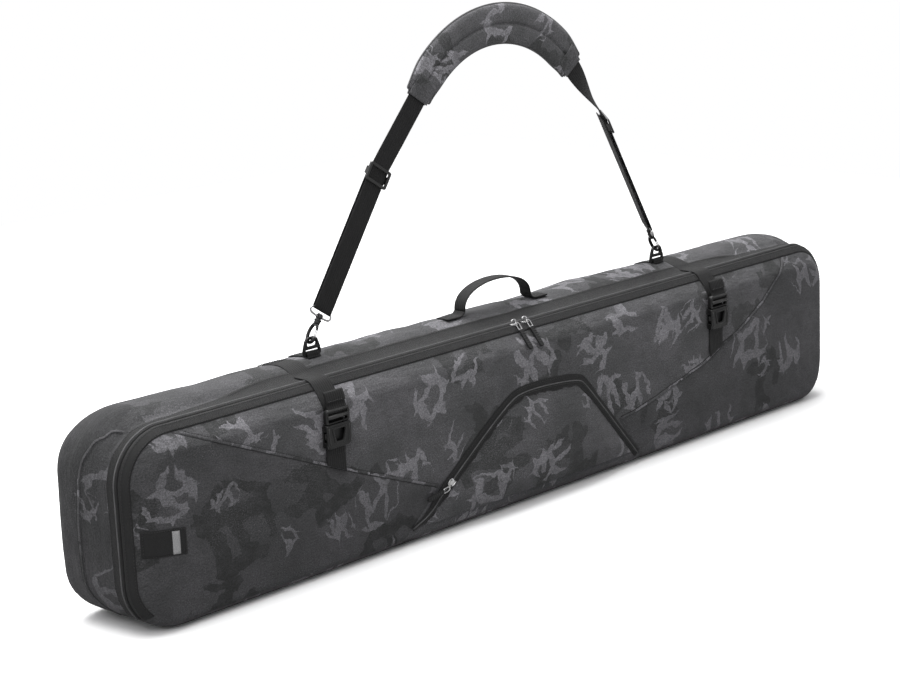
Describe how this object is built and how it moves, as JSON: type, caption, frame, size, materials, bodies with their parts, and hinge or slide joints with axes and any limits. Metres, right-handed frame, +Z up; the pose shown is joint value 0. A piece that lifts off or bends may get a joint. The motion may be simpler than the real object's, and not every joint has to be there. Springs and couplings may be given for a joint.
{
  "type": "snowboard bag",
  "caption": "Padded snowboard bag with a zipped front panel that folds down, a zipped front pocket, two buckled compression straps, a carry handle and a clip-on padded shoulder strap.",
  "frame": {"origin": "on the floor, at mid length and mid depth of the case", "axes": "+X along the bag to its right end, -Y to the zipped front, +Z up"},
  "size_m": [1.662, 0.189, 0.8185],
  "materials": {
    "camo_cloth": "woven, matte, branch camouflage",
    "foam": "closed-cell foam",
    "lining": "plain woven",
    "zip_strip": "coated cloth",
    "zip_tape": "woven tape with coil",
    "webbing": "woven webbing",
    "black_plastic": "moulded, semi-gloss",
    "nickel": "nickel plated",
    "pull_rubber": "moulded, matte",
    "label": "woven patch"
  },
  "bodies": {
    "case": {"back_panel": "camo_cloth", "back_foam": "foam", "top_gusset": "camo_cloth", "bottom_gusset": "camo_cloth", "left_end_gusset": "camo_cloth", "right_end_gusset": "camo_cloth", "gusset_foam": "foam", "case_lining": "lining", "zip_outer_strip": "zip_strip", "zip_tape_case": "zip_tape", "left_strap_upper": "webbing", "right_strap_upper": "webbing", "left_anchor_tab": "webbing", "right_anchor_tab": "webbing", "handle_tabs": "webbing"},
    "front": {"front_panel_centre": "camo_cloth", "front_panel_left": "camo_cloth", "front_panel_right": "camo_cloth", "front_foam": "foam", "front_lining": "lining", "zip_inner_strip": "zip_strip", "zip_tape_front": "zip_tape", "pocket_zip_strip": "zip_strip", "label_patch": "label", "left_strap_lower": "webbing", "right_strap_lower": "webbing", "left_buckle_socket": "black_plastic", "right_buckle_socket": "black_plastic"},
    "pocket_flap": {"pocket_panel": "camo_cloth"},
    "slider_left": {"zip_slider_left": "nickel"},
    "slider_right": {"zip_slider_right": "nickel"},
    "pull_left": {"zip_pull_left": "pull_rubber"},
    "pull_right": {"zip_pull_right": "pull_rubber"},
    "pocket_slider": {"pocket_slider": "nickel"},
    "pocket_pull": {"pocket_pull": "pull_rubber"},
    "plug_left": {"left_buckle_plug": "black_plastic", "left_strap_tail": "webbing"},
    "plug_right": {"right_buckle_plug": "black_plastic", "right_strap_tail": "webbing"},
    "arm_left_a": {"left_buckle_arm_a": "black_plastic"},
    "arm_left_b": {"left_buckle_arm_b": "black_plastic"},
    "arm_right_a": {"right_buckle_arm_a": "black_plastic"},
    "arm_right_b": {"right_buckle_arm_b": "black_plastic"},
    "ring_left": {"left_ring": "black_plastic"},
    "ring_right": {"right_ring": "black_plastic"},
    "shoulder_strap": {"left_webbing": "webbing", "right_webbing": "webbing", "left_wire_loop": "nickel", "right_wire_loop": "nickel", "left_swivel_eye": "black_plastic", "right_swivel_eye": "black_plastic", "shoulder_pad": "camo_cloth"},
    "hook_left": {"left_hook": "black_plastic"},
    "hook_right": {"right_hook": "black_plastic"},
    "gate_left": {"left_hook_gate": "nickel"},
    "gate_right": {"right_hook_gate": "nickel"},
    "adjuster_left": {"left_adjuster": "black_plastic"},
    "adjuster_right": {"right_adjuster": "black_plastic"},
    "handle": {"carry_handle": "webbing"}
  },
  "joints": [
    {"name": "front_panel_hinge", "type": "hinge", "parent": "case", "child": "front", "pos_m": [0, -0.0825, 0.02], "axis": [1, 0, 0], "range_deg": [0, 90]},
    {"name": "pocket_flap_hinge", "type": "hinge", "parent": "front", "child": "pocket_flap", "pos_m": [0, -0.088, 0.03], "axis": [1, 0, 0], "range_deg": [0, 75]},
    {"name": "main_zip_left", "type": "slide", "parent": "case", "child": "slider_left", "axis": [-1, 0, 0], "range_m": [0, 0.4]},
    {"name": "main_zip_right", "type": "slide", "parent": "case", "child": "slider_right", "axis": [1, 0, 0], "range_m": [0, 0.43]},
    {"name": "zip_pull_left_flip", "type": "hinge", "parent": "slider_left", "child": "pull_left", "pos_m": [-0.016, -0.0634, 0.3042], "axis": [-1, 0, 0], "range_deg": [0, 140]},
    {"name": "zip_pull_right_flip", "type": "hinge", "parent": "slider_right", "child": "pull_right", "pos_m": [0.01, -0.0634, 0.3042], "axis": [-1, 0, 0], "range_deg": [0, 140]},
    {"name": "pocket_zip", "type": "slide", "parent": "front", "child": "pocket_slider", "axis": [0.8087, 0, 0.5882], "range_m": [0, 0.15]},
    {"name": "pocket_pull_flip", "type": "hinge", "parent": "pocket_slider", "child": "pocket_pull", "pos_m": [-0.21744, -0.0947, 0.07699], "axis": [-0.1736, 0, 0.9848], "range_deg": [0, 120]},
    {"name": "buckle_left", "type": "slide", "parent": "case", "child": "plug_left", "axis": [0, 0, 1], "range_m": [0, 0.032], "deforming": ["left_buckle_arm_a", "left_buckle_arm_b"]},
    {"name": "buckle_left_arm_b", "type": "hinge", "parent": "plug_left", "child": "arm_left_b", "pos_m": [-0.435, -0.0953, 0.24], "axis": [0, 1, 0], "range_deg": [0, 7], "stiffness_Nm_per_rad": 0.05},
    {"name": "buckle_left_arm_a", "type": "hinge", "parent": "plug_left", "child": "arm_left_a", "pos_m": [-0.465, -0.0953, 0.24], "axis": [0, 1, 0], "range_deg": [-7, 0], "stiffness_Nm_per_rad": 0.05},
    {"name": "buckle_right", "type": "slide", "parent": "case", "child": "plug_right", "axis": [0, 0, 1], "range_m": [0, 0.032], "deforming": ["right_buckle_arm_a", "right_buckle_arm_b"]},
    {"name": "buckle_right_arm_b", "type": "hinge", "parent": "plug_right", "child": "arm_right_b", "pos_m": [0.489, -0.0953, 0.24], "axis": [0, 1, 0], "range_deg": [0, 7], "stiffness_Nm_per_rad": 0.05},
    {"name": "buckle_right_arm_a", "type": "hinge", "parent": "plug_right", "child": "arm_right_a", "pos_m": [0.459, -0.0953, 0.24], "axis": [0, 1, 0], "range_deg": [-7, 0], "stiffness_Nm_per_rad": 0.05},
    {"name": "ring_left_tilt", "type": "hinge", "parent": "case", "child": "ring_left", "pos_m": [-0.4, 0.01, 0.32119], "axis": [1, 0, 0], "range_deg": [-40, 40]},
    {"name": "ring_right_tilt", "type": "hinge", "parent": "case", "child": "ring_right", "pos_m": [0.432, 0.01, 0.32119], "axis": [1, 0, 0], "range_deg": [-40, 40]},
    {"name": "strap_swing", "type": "hinge", "parent": "ring_left", "child": "shoulder_strap", "pos_m": [-0.4, 0.01, 0.34619], "axis": [1, 0, 0], "range_deg": [-65, 65]},
    {"name": "hook_left_swivel", "type": "hinge", "parent": "shoulder_strap", "child": "hook_left", "pos_m": [-0.4, 0.01, 0.34619], "axis": [0.5563, 0, 0.831], "range_deg": [-10, 10]},
    {"name": "gate_left", "type": "hinge", "parent": "hook_left", "child": "gate_left", "pos_m": [-0.39277, 0.005, 0.357], "axis": [0.831, 0, -0.5563], "range_deg": [0, 16], "stiffness_Nm_per_rad": 0.01},
    {"name": "adjuster_left", "type": "slide", "parent": "shoulder_strap", "child": "adjuster_left", "axis": [-0.5563, 0, -0.831], "range_m": [0, 0.12]},
    {"name": "hook_right_swivel", "type": "hinge", "parent": "shoulder_strap", "child": "hook_right", "pos_m": [0.432, 0.01, 0.34619], "axis": [-0.4802, 0, 0.8771], "range_deg": [-10, 10]},
    {"name": "gate_right", "type": "hinge", "parent": "hook_right", "child": "gate_right", "pos_m": [0.42576, 0.005, 0.3576], "axis": [0.8771, 0, 0.4802], "range_deg": [0, 16], "stiffness_Nm_per_rad": 0.01},
    {"name": "adjuster_right", "type": "slide", "parent": "shoulder_strap", "child": "adjuster_right", "axis": [0.4802, 0, -0.8771], "range_m": [0, 0.12]},
    {"name": "carry_handle_tilt", "type": "hinge", "parent": "case", "child": "handle", "pos_m": [0.006, 0.01, 0.31899], "axis": [1, 0, 0], "range_deg": [-38, 38]}
  ],
  "couplings": [
    {"joint": "ring_right_tilt", "follows": "ring_left_tilt", "ratio": 1},
    {"joint": "buckle_left_arm_a", "follows": "buckle_left_arm_b", "ratio": -1},
    {"joint": "buckle_right_arm_a", "follows": "buckle_right_arm_b", "ratio": -1}
  ]
}
